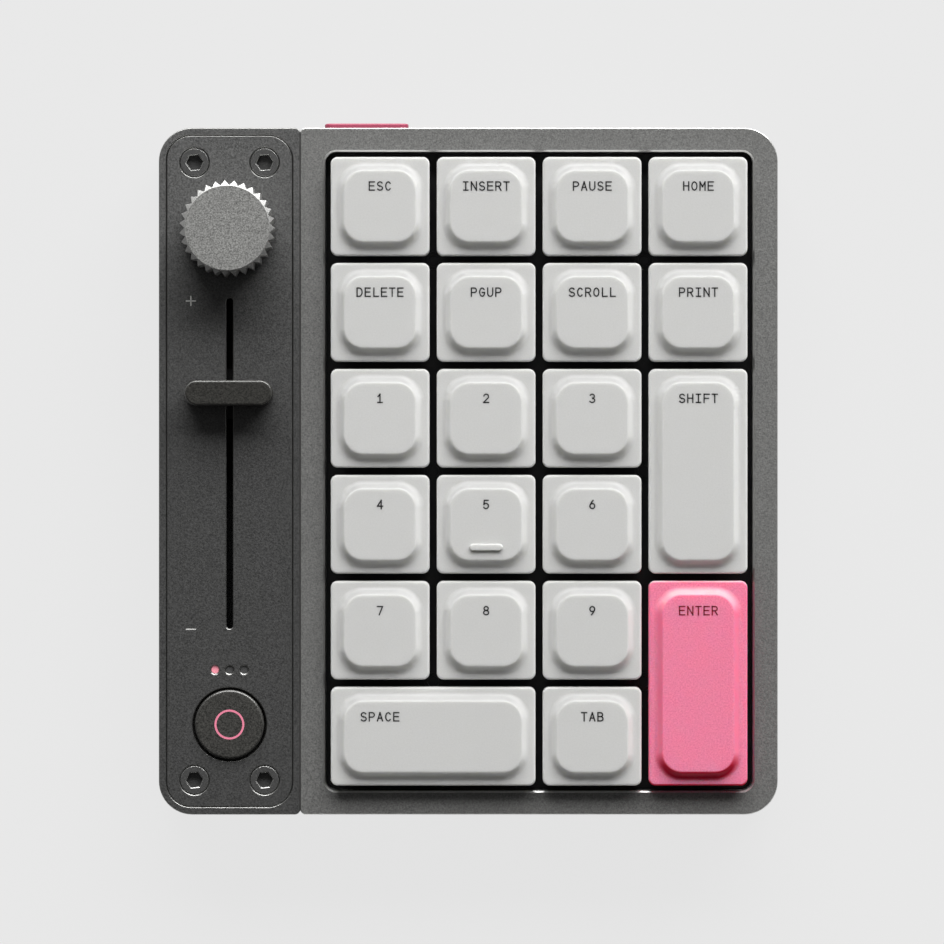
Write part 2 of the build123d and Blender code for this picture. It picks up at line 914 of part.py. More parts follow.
def encoder_shaft():
    shoulder = knob_low() + knob_recess_height
    flange_top = shaft_low() + shaft_flange_thick
    shaft = drum(shaft_flange_diameter, shaft_low(), flange_top)
    shaft += drum(shaft_diameter, flange_top, shoulder)
    return shaft + slab(shaft_plan(0), shoulder, shaft_high() - knob_bore_fit)


def encoder_plunger():
    high = shaft_low() - encoder_plunger_gap
    return drum(shaft_diameter, high - encoder_plunger_thick, high)


def knurl_plan():
    """Straight knurl: one sharp tooth repeated round the rim."""
    valley = knob_diameter / 2 - knob_valley_depth
    peak = knob_diameter / 2
    points = []
    for i in range(knob_teeth):
        points.append(Vector(peak, 0).rotate(Axis.Z, 360 * i / knob_teeth))
        points.append(Vector(valley, 0).rotate(Axis.Z, 360 * (i + 0.5) / knob_teeth))
    return make_face(Polyline(*points, close=True))


def control_knob():
    low = knob_low()
    high = low + knob_height
    rim_low = high - knob_chamfer_height
    spread = (knob_diameter - knob_disc_diameter) / 2
    cone = Cone(
        knob_diameter / 2 + spread,
        knob_disc_diameter / 2,
        2 * knob_chamfer_height,
        align=(Align.CENTER, Align.CENTER, Align.MAX),
    )
    envelope = Pos(0, 0, high) * cone
    envelope += drum(knob_diameter + 2 * spread, low, rim_low)
    knob = slab(knurl_plan(), low, high) & envelope
    recess = low + knob_recess_height
    knob -= drum(knob_recess_diameter, low, recess)
    return knob - slab(shaft_plan(knob_bore_fit), recess, shaft_high())


# Slider

def fader_top():
    return module_board_top + fader_height


def carriage_top():
    return fader_top() - fader_wall - carriage_clearance


def fader_body():
    width = fader_width - 2 * fader_wall
    length = fader_length - 2 * fader_wall
    body = block(fader_width, fader_length, module_board_top, fader_top())
    body -= block(width, length, module_board_top + fader_wall, fader_top() - fader_wall)
    slot = Rectangle(fader_slot_width, slot_length + 2 * fader_slot_margin)
    return Pos(module_x, slot_y) * (body - slab(slot, fader_top() - fader_wall, fader_top()))


def slider_carriage():
    width = fader_width - 2 * (fader_wall + carriage_clearance)
    low = module_board_top + fader_wall + carriage_clearance
    carriage = block(width, carriage_length, low, carriage_top())
    pocket = block(
        lever_thick + 2 * lever_fit,
        lever_length + 2 * lever_fit,
        carriage_top() - lever_sunk - lever_fit,
        carriage_top(),
    )
    return Pos(module_x, slider_rest_y) * (carriage - pocket)


def lever_high():
    return top_z + slider_cap_gap + slider_cap_height - lever_cover


def slider_lever():
    blade = block(lever_thick, lever_length, carriage_top() - lever_sunk, lever_high())
    return Pos(module_x, slider_rest_y) * blade


def slider_cap():
    low = top_z + slider_cap_gap
    cap = slab(SlotOverall(slider_cap_length, slider_cap_width), low, low + slider_cap_height)
    cap = fillet(top_face(cap).outer_wire().edges(), slider_cap_fillet)
    pocket = block(
        lever_thick + 2 * lever_fit, lever_length + 2 * lever_fit, low, lever_high() + lever_fit
    )
    return Pos(module_x, slider_rest_y) * (cap - pocket)


# Status lights and round button

def light_places():
    return [Pos(module_x + i * light_pitch, light_y) for i in (-1, 0, 1)]


def status_light():
    low = module_board_top + led_height + led_gap
    pipe = drum(light_diameter, low, top_z - light_recess)
    return pipe + drum(2 * light_collar_radius, faceplate_z - light_collar_thick, faceplate_z)


def status_led():
    return block(led_length, led_width, module_board_top, module_board_top + led_height)


def mode_switch_top():
    return module_board_top + push_switch_height + plunger_reach + button_seat_gap


def mode_button():
    high = top_z + button_proud
    flange_top = faceplate_z - button_flange_gap
    flange_low = flange_top - button_flange_thick
    button = drum(button_diameter, flange_top, high)
    button = fillet(edges_at(button, high), button_fillet)
    button += drum(2 * button_flange_radius, flange_low, flange_top)
    button += drum(button_stem_diameter, mode_switch_top(), flange_low)
    return Pos(module_x, button_y) * button


def mode_switch_place():
    return Pos(module_x, button_y, module_board_top)


def build():
    """Every sub-part under its node's name."""
    knob_axis = Pos(module_x, knob_y)
    nodes = {
        "main_frame": main_frame(),
        "bottom_cover": bottom_cover(),
        "switch_plate": switch_plate(),
        "main_board": main_board(),
        "controller_chip": controller_chip(),
        "usb_socket": usb_socket(),
        "link_connector": link_connector(),
        "rear_button": rear_button(),
        "rear_button_switch": rear_switch(),
        "rear_button_plunger": rear_switch_place() * push_plunger(),
        "module_housing": module_housing(),
        "module_faceplate": module_faceplate(),
        "module_board": module_board(),
        "encoder_body": knob_axis * encoder_body(),
        "encoder_nut": knob_axis * encoder_nut(),
        "encoder_shaft": knob_axis * encoder_shaft(),
        "encoder_plunger": knob_axis * encoder_plunger(),
        "control_knob": knob_axis * control_knob(),
        "fader_body": fader_body(),
        "slider_carriage": slider_carriage(),
        "slider_lever": slider_lever(),
        "slider_cap": slider_cap(),
        "mode_button": mode_button(),
        "mode_button_switch": mode_switch_place() * push_switch(),
        "mode_button_plunger": mode_switch_place() * push_plunger(),
    }
    groups = {
        "switch_housings": (switch_housing(), key_places()),
        "switch_springs": (switch_spring(), key_places()),
        "guide_bushes": (guide_bush(), all_guide_places()),
        "clinch_nuts": (clinch_nut(), case_screw_places()),
        "case_screws": (case_screw(), case_screw_places()),
        "rubber_feet": (rubber_foot(), main_foot_places() + module_foot_places()),
        "faceplate_screws": (face_screw(), face_screw_places()),
        "board_screws": (board_screw(), board_post_places()),
        "joining_screws": (joining_screw(), joining_places()),
        "status_leds": (status_led(), light_places()),
    }
    for name, (solid, places) in groups.items():
        nodes[name] = group(place * solid for place in places)
    for side, place in zip(("left", "middle", "right"), light_places()):
        nodes["status_light_" + side] = place * status_light()
    stem = switch_stem()
    caps = {}
    for name, column, row, wide, tall in key_shares:
        if (wide, tall) not in caps:
            caps[(wide, tall)] = key_cap(wide, tall)
        cap = caps[(wide, tall)]
        if name == homing_key:
            cap = cap + homing_bar()
        middle = Pos(*key_place(column, row, wide, tall))
        nodes[name] = group([middle * cap, middle * stem])
    return nodes


os.makedirs("parts", exist_ok=True)
whole_middle = Pos(0, -rear_button_proud / 2)
for node, shape in build().items():
    export_step(whole_middle * shape, f"parts/{node}.step")
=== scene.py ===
import json
import math

import bmesh
import bpy
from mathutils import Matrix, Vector


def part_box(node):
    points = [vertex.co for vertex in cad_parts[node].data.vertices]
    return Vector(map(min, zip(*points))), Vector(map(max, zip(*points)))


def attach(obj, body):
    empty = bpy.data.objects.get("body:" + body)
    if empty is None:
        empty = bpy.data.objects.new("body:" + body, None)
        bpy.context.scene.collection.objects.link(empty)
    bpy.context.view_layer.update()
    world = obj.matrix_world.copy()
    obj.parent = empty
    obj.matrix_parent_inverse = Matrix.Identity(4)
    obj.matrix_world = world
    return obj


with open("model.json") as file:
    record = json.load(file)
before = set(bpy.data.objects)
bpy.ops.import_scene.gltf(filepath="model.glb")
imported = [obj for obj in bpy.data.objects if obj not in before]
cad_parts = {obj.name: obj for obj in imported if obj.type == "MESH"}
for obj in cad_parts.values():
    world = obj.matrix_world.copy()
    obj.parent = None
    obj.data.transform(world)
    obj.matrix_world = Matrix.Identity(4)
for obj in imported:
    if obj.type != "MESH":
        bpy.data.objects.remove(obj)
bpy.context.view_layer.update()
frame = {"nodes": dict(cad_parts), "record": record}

# Metres, in the part's own frame: +Z up, +Y to the rear, the desk at zero height.
nodes = frame["nodes"]
MM = 0.001

# Photographed frame: its key pitch in pixels gives the width of the view at the frame's top face
IMAGE_PIXELS = 944
PITCH_PIXELS = 105.72
KEY_PITCH = 19.0 * MM
VIEW_WIDTH = IMAGE_PIXELS * KEY_PITCH / PITCH_PIXELS
CAMERA_DISTANCE = 0.9
CAMERA_SENSOR = 36.0
CAMERA_X = 0.67 * MM
CAMERA_FORWARD = 0.135 * MM
CAMERA_CLIP = 20.0

# Tints, linear
FRAME_TINT = (0.159, 0.159, 0.154)
MODULE_TINT = (0.063, 0.063, 0.062)
KNOB_TINT = (0.249, 0.249, 0.24)
CONTROL_TINT = (0.0315, 0.0305, 0.027)
BUTTON_TINT = (0.046, 0.045, 0.041)
SCREW_TINT = (0.07, 0.07, 0.069)
FRAME_CUT_TINT = (0.9, 0.9, 0.88)
MODULE_CUT_TINT = (0.34, 0.34, 0.33)
CUT_TINT = (0.42, 0.42, 0.41)
DARK_CUT_TINT = (0.16, 0.16, 0.155)
WALL_TINT = (0.5, 0.5, 0.49)
WHITE_TINT = (0.635, 0.635, 0.623)
PINK_TINT = (1.0, 0.268, 0.41)
REAR_PINK_TINT = (0.345, 0.052, 0.1)
BLACK_TINT = (0.0085, 0.0085, 0.0098)
BLACK_PLASTIC_SHARE = 1.5
BOARD_TINT = (0.01, 0.022, 0.016)
STEEL_TINT = (0.5, 0.5, 0.49)
RUBBER_TINT = (0.02, 0.02, 0.02)
UNLIT_TINT = (0.08, 0.08, 0.08)
LIT_TINT = (0.85, 0.3, 0.37)
INK_TINT = (0.012, 0.012, 0.013)
RED_INK_TINT = (0.21, 0.001, 0.012)
PALE_INK_TINT = (0.62, 0.62, 0.6)
PINK_INK_TINT = (0.9, 0.23, 0.34)

# Legends
LEGEND_HEIGHT = 1.7 * MM
LEGEND_ADVANCE = 1.46 * MM
LEGEND_WIDTH = 1.13 * MM
LEGEND_RAISE = 3.55 * MM
LEGEND_STROKE = 0.225 * MM
INK_THICKNESS = 0.02 * MM
ARC_STEPS = 12
CLOSED_SHARE = 0.1
MITRE_LIMIT = 0.5
PINK_KEY = "key_enter"
LEGENDS = {
    "key_esc": "ESC",
    "key_insert": "INSERT",
    "key_pause": "PAUSE",
    "key_home": "HOME",
    "key_delete": "DELETE",
    "key_page_up": "PGUP",
    "key_scroll": "SCROLL",
    "key_print": "PRINT",
    "key_1": "1",
    "key_2": "2",
    "key_3": "3",
    "key_shift": "SHIFT",
    "key_4": "4",
    "key_5": "5",
    "key_6": "6",
    "key_7": "7",
    "key_8": "8",
    "key_9": "9",
    "key_enter": "ENTER",
    "key_space": "SPACE",
    "key_tab": "TAB",
}

# Strokes of each character, as shares of its width and height: points, and arcs given as middle,
# half width, half height, and first and last angle in degrees
STEM = [(0, 0), (0, 1)]
GLYPH_SHARES = {
    "A": [[(0, 0), (0.5, 1)], [(0.5, 1), (1, 0)], [(0.17, 0.34), (0.83, 0.34)]],
    "B": [
        STEM,
        [(0, 1), (0.52, 0.76, 0.4, 0.24, 90, -90), (0, 0.52)],
        [(0, 0.52), (0.54, 0.26, 0.46, 0.26, 90, -90), (0, 0)],
    ],
    "C": [[(0.52, 0.5, 0.5, 0.5, 42, 318)]],
    "D": [STEM, [(0, 1), (0.4, 0.5, 0.6, 0.5, 90, -90), (0, 0)]],
    "E": [STEM, [(0, 1), (1, 1)], [(0, 0.52), (0.88, 0.52)], [(0, 0), (1, 0)]],
    "F": [STEM, [(0, 1), (1, 1)], [(0, 0.5), (0.88, 0.5)]],
    "G": [[(0.52, 0.5, 0.5, 0.5, 42, 340), (1, 0.46)], [(1, 0.46), (0.56, 0.46)]],
    "H": [STEM, [(1, 0), (1, 1)], [(0, 0.52), (1, 0.52)]],
    "I": [[(0.5, 0), (0.5, 1)], [(0.08, 0), (0.92, 0)], [(0.08, 1), (0.92, 1)]],
    "L": [[(0.1, 0), (0.1, 1)], [(0.1, 0), (1, 0)]],
    "M": [STEM, [(1, 0), (1, 1)], [(0, 1), (0.5, 0.42)], [(0.5, 0.42), (1, 1)]],
    "N": [STEM, [(1, 0), (1, 1)], [(0, 1), (1, 0)]],
    "O": [[(0.5, 0.5, 0.5, 0.5, 0, 360)]],
    "P": [STEM, [(0, 1), (0.58, 0.73, 0.42, 0.27, 90, -90), (0, 0.46)]],
    "R": [STEM, [(0, 1), (0.56, 0.74, 0.42, 0.26, 90, -90), (0, 0.48)], [(0.52, 0.48), (1, 0)]],
    "S": [[(0.5, 0.745, 0.46, 0.255, 28, 270), (0.5, 0.245, 0.5, 0.245, 90, -152)]],
    "T": [[(0.5, 0), (0.5, 1)], [(0, 1), (1, 1)]],
    "U": [[(0, 1), (0.5, 0.36, 0.5, 0.36, 180, 360), (1, 1)]],
    "1": [[(0.5, 0), (0.5, 1)], [(0.5, 1), (0.12, 0.72)], [(0.06, 0), (0.94, 0)]],
    "2": [[(0.5, 0.71, 0.46, 0.29, 165, -38), (0, 0)], [(0, 0), (1, 0)]],
    "3": [[(0.47, 0.755, 0.44, 0.245, 150, -90), (0.47, 0.255, 0.5, 0.255, 90, -150)]],
    "4": [[(0.74, 0), (0.74, 1)], [(0.74, 1), (0, 0.3)], [(0, 0.3), (1, 0.3)]],
    "5": [[(0.9, 1), (0.14, 1)], [(0.14, 1), (0.06, 0.5)], [(0.46, 0.32, 0.5, 0.32, 144, -148)]],
    "6": [[(0.5, 0.31, 0.48, 0.31, 0, 360)], [(0.66, 1), (0.3, 0.72), (0.08, 0.45), (0.02, 0.31)]],
    "7": [[(0, 1), (1, 1)], [(1, 1), (0.36, 0)]],
    "8": [[(0.5, 0.76, 0.42, 0.24, 0, 360)], [(0.5, 0.26, 0.5, 0.26, 0, 360)]],
    "9": [[(0.5, 0.69, 0.48, 0.31, 0, 360)], [(0.34, 0), (0.7, 0.28), (0.92, 0.55), (0.98, 0.69)]],
}

# Plus and minus beside the slider's slot, from the faceplate's middle, and the ring on the round button
MARK_LENGTH = 1.85 * MM
MARK_STROKE = 0.2 * MM
MARK_X = -6.95 * MM
MARK_HIGH_Y = 30.6 * MM
MARK_LOW_Y = -28.4 * MM
BAR_STEPS = 10
RING_RADIUS = 2.5 * MM
RING_STROKE = 0.36 * MM
RING_STEPS = 96

# Studio
FLOOR_TINT = (0.807, 0.807, 0.807)
FLOOR_STEADY = 0.81
FLOOR_STEADY_SHARE = 0.94
FLOOR_FIBRE = 0.6 * MM
FLOOR_FIBRE_TONE = 0.985
FLOOR_ROUGHNESS = 0.9
FLOOR_HALF = 8.0
PANEL_DISTANCE = 3.0
PANEL_ELEVATION = math.radians(25)
PANEL_TURN = math.radians(9)
PANEL_WIDTH = 4.2
PANEL_HEIGHT = 2.0
PANEL_POWER = 262.0
SKY_LEVEL = 0.15
HORIZON_LEVEL = 0.3
SKY_START = 0.2
FRONT_LEVEL = 0.05
FRONT_FROM = -0.9
FRONT_TO = 0.1

# Noise: its detail, and the span of its values that is stretched to the full range
FINE_DETAIL = 3.0
BROAD_DETAIL = 4.0
NOISE_ROUGHNESS = 0.7
NOISE_LOW = 0.3
NOISE_HIGH = 0.7

# Moulded and blasted finishes: slow drift of colour, spread of roughness, wear on corners
MOULD_DRIFT_SHARE = 0.3
MOULD_DRIFT_TONE = 0.95
MOULD_SPREAD = 0.06
BLAST_DRIFT_SHARE = 0.35
BLAST_DRIFT_TONE = 0.92
BLAST_SPREAD = 0.07
WEAR_SIZE_SHARE = 12
WEAR_TONE = 1.5
BROAD_SHARE = 60

# Light pipes and ink: size of their grain, tones and roughness
PIPE_CLOUD = 0.25 * MM
PIPE_TONES = (0.85, 1.1)
PIPE_ROUGHNESS = (0.12, 0.25)
INK_GRAIN = 0.08 * MM
INK_TONES = (0.8, 1.3)
INK_ROUGHNESS = (0.5, 0.7)

# Cut edges: how steep their faces are, as the upright share of the normal, and how much brighter; cut
# edges that face a side keep only a share of their tint, as painted shade
CUT_STEEPNESS = 0.74
CUT_RANGE = 0.13
CUT_METALLIC = 0.85
CUT_SIDE_FROM = 0.15
CUT_SIDE_TO = 0.55
FRAME_SIDE_SHADE_SHARE = 0.4
MODULE_SIDE_SHADE_SHARE = 0.5
WALL_RANGE = 0.3
EDGE_SOFTNESS = 0.1 * MM
EDGE_WEAR = 0.4
EDGE_SAMPLES = 4
EDGE_MASK_FROM = 0.86
EDGE_MASK_TO = 0.995

# Painted light falloff along a finish, darker towards the front and lighter towards the rear: from and to,
# front to rear, and the tone at each end
FRAME_PAINTED_FALLOFF = (-40 * MM, 40 * MM, 0.93, 1.02)
MODULE_PAINTED_FALLOFF = (5 * MM, 42 * MM, 0.8, 1.36)
NO_PAINTED_FALLOFF = (-1.0, 1.0, 1.0, 1.0)

# Light scattered inside moulded caps, and a pink tint on the pink caps' gloss that paints their shaded
# faces a deeper red
SCATTER_SHARE = 0.9
SCATTER_DEPTH = 1.1 * MM
WHITE_SCATTER = (1.0, 1.0, 0.95)
PINK_SCATTER = (1.2, 0.25, 0.4)
PINK_GLOSS_TINT = (1.0, 0.2, 0.3)

# Painted light and shade on the caps' slopes: own tints for slopes that face the sides, the rear and the
# front, and where on the normal's share they start or are full
SLOPE_STEEPNESS = 0.7
FRONT_STEEPNESS = 0.45
WALL_TO = 0.1
SLOPE_FROM = 0.35
# White: slopes facing a side or the front painted lighter, slopes facing the rear painted darker against
# the panel's highlight
WHITE_PAINTED_SLOPE_TINTS = {
    "side": (0.73, 0.73, 0.716),
    "rear": (0.335, 0.335, 0.329),
    "front": (0.87, 0.87, 0.853),
}
# Pink: slopes facing the rear painted pale as a highlight, slopes facing the front painted deep crimson as
# shade
PINK_PAINTED_SLOPE_TINTS = {
    "side": (1.0, 0.24, 0.38),
    "rear": (0.64, 0.37, 0.4),
    "front": (0.76, 0.015, 0.065),
}


# Material helpers

def new_material(name):
    material = bpy.data.materials.new(name)
    material.use_nodes = True
    tree = material.node_tree
    return material, tree, tree.nodes["Principled BSDF"]


def add(tree, kind, **sockets):
    """A new shader node with some of its inputs set."""
    made = tree.nodes.new(kind)
    for name, value in sockets.items():
        made.inputs[name.replace("_", " ")].default_value = value
    return made


def noise(tree, size, detail=FINE_DETAIL):
    """Noise whose grains are about that size, in metres, fixed to the piece."""
    place = tree.nodes.get("Place") or tree.nodes.new("ShaderNodeTexCoord")
    place.name = "Place"
    made = add(tree, "ShaderNodeTexNoise", Scale=1 / size, Detail=detail, Roughness=NOISE_ROUGHNESS)
    tree.links.new(place.outputs["Object"], made.inputs["Vector"])
    return made.outputs["Fac"]


def remap(tree, value, low, high, from_low=NOISE_LOW, from_high=NOISE_HIGH):
    """A value stretched from one range to another, and held at its ends."""
    made = add(tree, "ShaderNodeMapRange")
    made.inputs["From Min"].default_value = from_low
    made.inputs["From Max"].default_value = from_high
    made.inputs["To Min"].default_value = low
    made.inputs["To Max"].default_value = high
    tree.links.new(value, made.inputs["Value"])
    return made.outputs["Result"]


def multiply(tree, first, second):
    made = tree.nodes.new("ShaderNodeMath")
    made.operation = "MULTIPLY"
    tree.links.new(first, made.inputs[0])
    tree.links.new(second, made.inputs[1])
    return made.outputs["Value"]


def mix_tints(tree, share, first, second):
    """A colour between two, which are tints or the outputs of other nodes."""
    made = tree.nodes.new("ShaderNodeMix")
    made.data_type = "RGBA"
    tree.links.new(share, made.inputs["Factor"])
    for socket, tint in (("A", first), ("B", second)):
        colour = [i for i in made.inputs if i.name == socket and i.type == "RGBA"][0]
        if isinstance(tint, tuple):
            colour.default_value = (*tint, 1)
        else:
            tree.links.new(tint, colour)
    return [o for o in made.outputs if o.type == "RGBA"][0]


def shade(tint, factor):
    return tuple(min(1.0, channel * factor) for channel in tint)


def soft_edges(tree, radius):
    """Normal rounded over sharp edges, and a mask that is high on those edges."""
    rounded = add(tree, "ShaderNodeBevel", Radius=radius)
    rounded.samples = EDGE_SAMPLES
    plain = tree.nodes.new("ShaderNodeNewGeometry")
    product = tree.nodes.new("ShaderNodeVectorMath")
    product.operation = "DOT_PRODUCT"
    tree.links.new(rounded.outputs["Normal"], product.inputs[0])
    tree.links.new(plain.outputs["Normal"], product.inputs[1])
    mask = remap(tree, product.outputs["Value"], 1.0, 0.0, EDGE_MASK_FROM, EDGE_MASK_TO)
    return rounded.outputs["Normal"], mask


def bump(tree, height, strength, distance, normal=None):
    """Normal roughened by a height, over a given normal or the surface's own."""
    made = add(tree, "ShaderNodeBump", Strength=strength, Distance=distance)
    tree.links.new(height, made.inputs["Height"])
    if normal is not None:
        tree.links.new(normal, made.inputs["Normal"])
    return made.outputs["Normal"]


def slope_mask(tree, steepness, span):
    """One on faces whose normal has about that upright share, and zero on all others."""
    plain = tree.nodes.new("ShaderNodeNewGeometry")
    parts = tree.nodes.new("ShaderNodeSeparateXYZ")
    steep = tree.nodes.new("ShaderNodeMath")
    steep.operation = "ABSOLUTE"
    match = tree.nodes.new("ShaderNodeMath")
    match.operation = "COMPARE"
    match.inputs[1].default_value = steepness
    match.inputs[2].default_value = span
    tree.links.new(plain.outputs["True Normal"], parts.inputs["Vector"])
    tree.links.new(parts.outputs["Z"], steep.inputs[0])
    tree.links.new(steep.outputs["Value"], match.inputs[0])
    return match.outputs["Value"]


def mix_values(tree, share, first, second):
    """A number between one output and a fixed value."""
    made = tree.nodes.new("ShaderNodeMix")
    made.data_type = "FLOAT"
    tree.links.new(share, made.inputs["Factor"])
    tree.links.new(first, made.inputs["A"])
    made.inputs["B"].default_value = second
    return made.outputs["Result"]


def painted_slope_shading(tree, base, tints):
    """Painted light and shade: own tints for slopes that face the sides, the rear and the front."""
    plain = tree.nodes.new("ShaderNodeNewGeometry")
    parts = tree.nodes.new("ShaderNodeSeparateXYZ")
    tree.links.new(plain.outputs["Normal"], parts.inputs["Vector"])
    steep = remap(tree, parts.outputs["Z"], 1.0, 0.0, SLOPE_STEEPNESS, 1.0)
    base = mix_tints(tree, steep, base, tints["side"])
    rear = remap(tree, parts.outputs["Y"], 0.0, 1.0, 0.0, SLOPE_STEEPNESS)
    base = mix_tints(tree, rear, base, tints["rear"])
    front = remap(tree, parts.outputs["Y"], 1.0, 0.0, -FRONT_STEEPNESS, 0.0)
    sloping = remap(tree, parts.outputs["Z"], 0.0, 1.0, WALL_TO, SLOPE_FROM)
    return mix_tints(tree, multiply(tree, front, sloping), base, tints["front"])


def moulded(
    name, tint, roughness, grain, speckle, relief,
    scatter=(0, 0, 0), painted_slope_tints=None, gloss_tint=(1, 1, 1),
):
    """Moulded or coated surface with fine texture, a slow random change of colour, light scattered inside
    and, where slope tints are given, painted light and shade on its slopes.
    """
    material, tree, shader = new_material(name)
    fine = noise(tree, grain)
    broad = noise(tree, BROAD_SHARE * grain, BROAD_DETAIL)
    base = mix_tints(tree, remap(tree, fine, 0, 1), shade(tint, 1 - speckle), shade(tint, 1 + speckle))
    base = mix_tints(tree, remap(tree, broad, 0, MOULD_DRIFT_SHARE), base, shade(tint, MOULD_DRIFT_TONE))
    # Painted light and shade on the slopes, by which way they face
    if painted_slope_tints:
        base = painted_slope_shading(tree, base, painted_slope_tints)
    tree.links.new(base, shader.inputs["Base Color"])
    rough = remap(tree, fine, roughness - MOULD_SPREAD, roughness + MOULD_SPREAD)
    tree.links.new(rough, shader.inputs["Roughness"])
    # A gloss tint other than white paints the shaded faces in its colour
    shader.inputs["Specular Tint"].default_value = (*gloss_tint, 1)
    tree.links.new(bump(tree, fine, relief, grain / 2), shader.inputs["Normal"])
    if any(scatter):
        shader.inputs["Subsurface Weight"].default_value = SCATTER_SHARE
        shader.inputs["Subsurface Radius"].default_value = scatter
        shader.inputs["Subsurface Scale"].default_value = SCATTER_DEPTH
    return material


def paint_falloff(tree, base, light_falloff):
    """A colour made darker or lighter by where it lies between the front and the rear: painted light and
    shade.
    """
    front, rear, low, high = light_falloff
    place = tree.nodes.get("Place")
    parts = tree.nodes.new("ShaderNodeSeparateXYZ")
    tree.links.new(place.outputs["Object"], parts.inputs["Vector"])
    tone = remap(tree, parts.outputs["Y"], low, high, front, rear)
    made = tree.nodes.new("ShaderNodeVectorMath")
    made.operation = "SCALE"
    tree.links.new(base, made.inputs["Vector"])
    tree.links.new(tone, made.inputs["Scale"])
    return made.outputs["Vector"]


def side_shaded_cut_tint(tree, tint, side_shade_share):
    """A cut edge's colour with painted shade: full towards the front or the rear, a share of it towards a
    side.
    """
    plain = tree.nodes.new("ShaderNodeNewGeometry")
    parts = tree.nodes.new("ShaderNodeSeparateXYZ")
    along = tree.nodes.new("ShaderNodeMath")
    along.operation = "ABSOLUTE"
    tree.links.new(plain.outputs["True Normal"], parts.inputs["Vector"])
    tree.links.new(parts.outputs["Y"], along.inputs[0])
    facing = remap(tree, along.outputs["Value"], 0.0, 1.0, CUT_SIDE_FROM, CUT_SIDE_TO)
    return mix_tints(tree, facing, shade(tint, side_shade_share), tint)


def blasted(
    name, tint, cut_tint, roughness, grain, speckle, relief, metallic, cut_roughness,
    light_falloff=NO_PAINTED_FALLOFF, side_shade_share=1.0,
):
    """Blasted and anodised metal: speckled grain, painted light falloff from front to rear where given,
    brighter cut edges with painted shade on those that face a side, a little wear on corners.
    """
    material, tree, shader = new_material(name)
    fine = noise(tree, grain)
    broad = noise(tree, BROAD_SHARE * grain, BROAD_DETAIL)
    base = mix_tints(tree, remap(tree, fine, 0, 1), shade(tint, 1 - speckle), shade(tint, 1 + speckle))
    base = mix_tints(tree, remap(tree, broad, 0, BLAST_DRIFT_SHARE), base, shade(tint, BLAST_DRIFT_TONE))
    # Painted light falloff: darker towards the front, lighter towards the rear
    base = paint_falloff(tree, base, light_falloff)
    normal, corners = soft_edges(tree, EDGE_SOFTNESS)
    patches = remap(tree, noise(tree, WEAR_SIZE_SHARE * grain), 0.0, EDGE_WEAR)
    base = mix_tints(tree, multiply(tree, corners, patches), base, shade(tint, WEAR_TONE))
    cut = slope_mask(tree, CUT_STEEPNESS, CUT_RANGE)
    # Cut edges, with painted shade on those that face a side
    base = mix_tints(tree, cut, base, side_shaded_cut_tint(tree, cut_tint, side_shade_share))
    tree.links.new(base, shader.inputs["Base Color"])
    rough = remap(tree, fine, roughness - BLAST_SPREAD, roughness + BLAST_SPREAD)
    tree.links.new(mix_values(tree, cut, rough, cut_roughness), shader.inputs["Roughness"])
    tree.links.new(bump(tree, fine, relief, grain / 2, normal), shader.inputs["Normal"])
    tree.links.new(remap(tree, cut, metallic, CUT_METALLIC, 0, 1), shader.inputs["Metallic"])
    return material


def machined_walls(material, tint):
    """Gives a finish bright bare metal on its upright faces."""
    tree = material.node_tree
    shader = tree.nodes["Principled BSDF"]
    walls = slope_mask(tree, 0.0, WALL_RANGE)
    base = shader.inputs["Base Color"].links[0].from_socket
    tree.links.new(mix_tints(tree, walls, base, tint), shader.inputs["Base Color"])
    metallic = shader.inputs["Metallic"].links[0].from_socket
    tree.links.new(mix_values(tree, walls, metallic, CUT_METALLIC), shader.inputs["Metallic"])


def light_pipe(name, tint, glow):
    """Cloudy moulded light guide that glows when lit."""
    material, tree, shader = new_material(name)
    cloudy = noise(tree, PIPE_CLOUD)
    dark, pale = (shade(tint, tone) for tone in PIPE_TONES)
    base = mix_tints(tree, remap(tree, cloudy, 0, 1), dark, pale)
    tree.links.new(base, shader.inputs["Base Color"])
    tree.links.new(base, shader.inputs["Emission Color"])
    tree.links.new(remap(tree, cloudy, *PIPE_ROUGHNESS), shader.inputs["Roughness"])
    shader.inputs["Emission Strength"].default_value = glow
    return material


def printed_ink(name, tint):
    """Matt printed ink with a fine mottle."""
    material, tree, shader = new_material(name)
    fine = noise(tree, INK_GRAIN)
    dark, pale = (shade(tint, tone) for tone in INK_TONES)
    base = mix_tints(tree, remap(tree, fine, 0, 1), dark, pale)
    tree.links.new(base, shader.inputs["Base Color"])
    tree.links.new(remap(tree, fine, *INK_ROUGHNESS), shader.inputs["Roughness"])
    return material


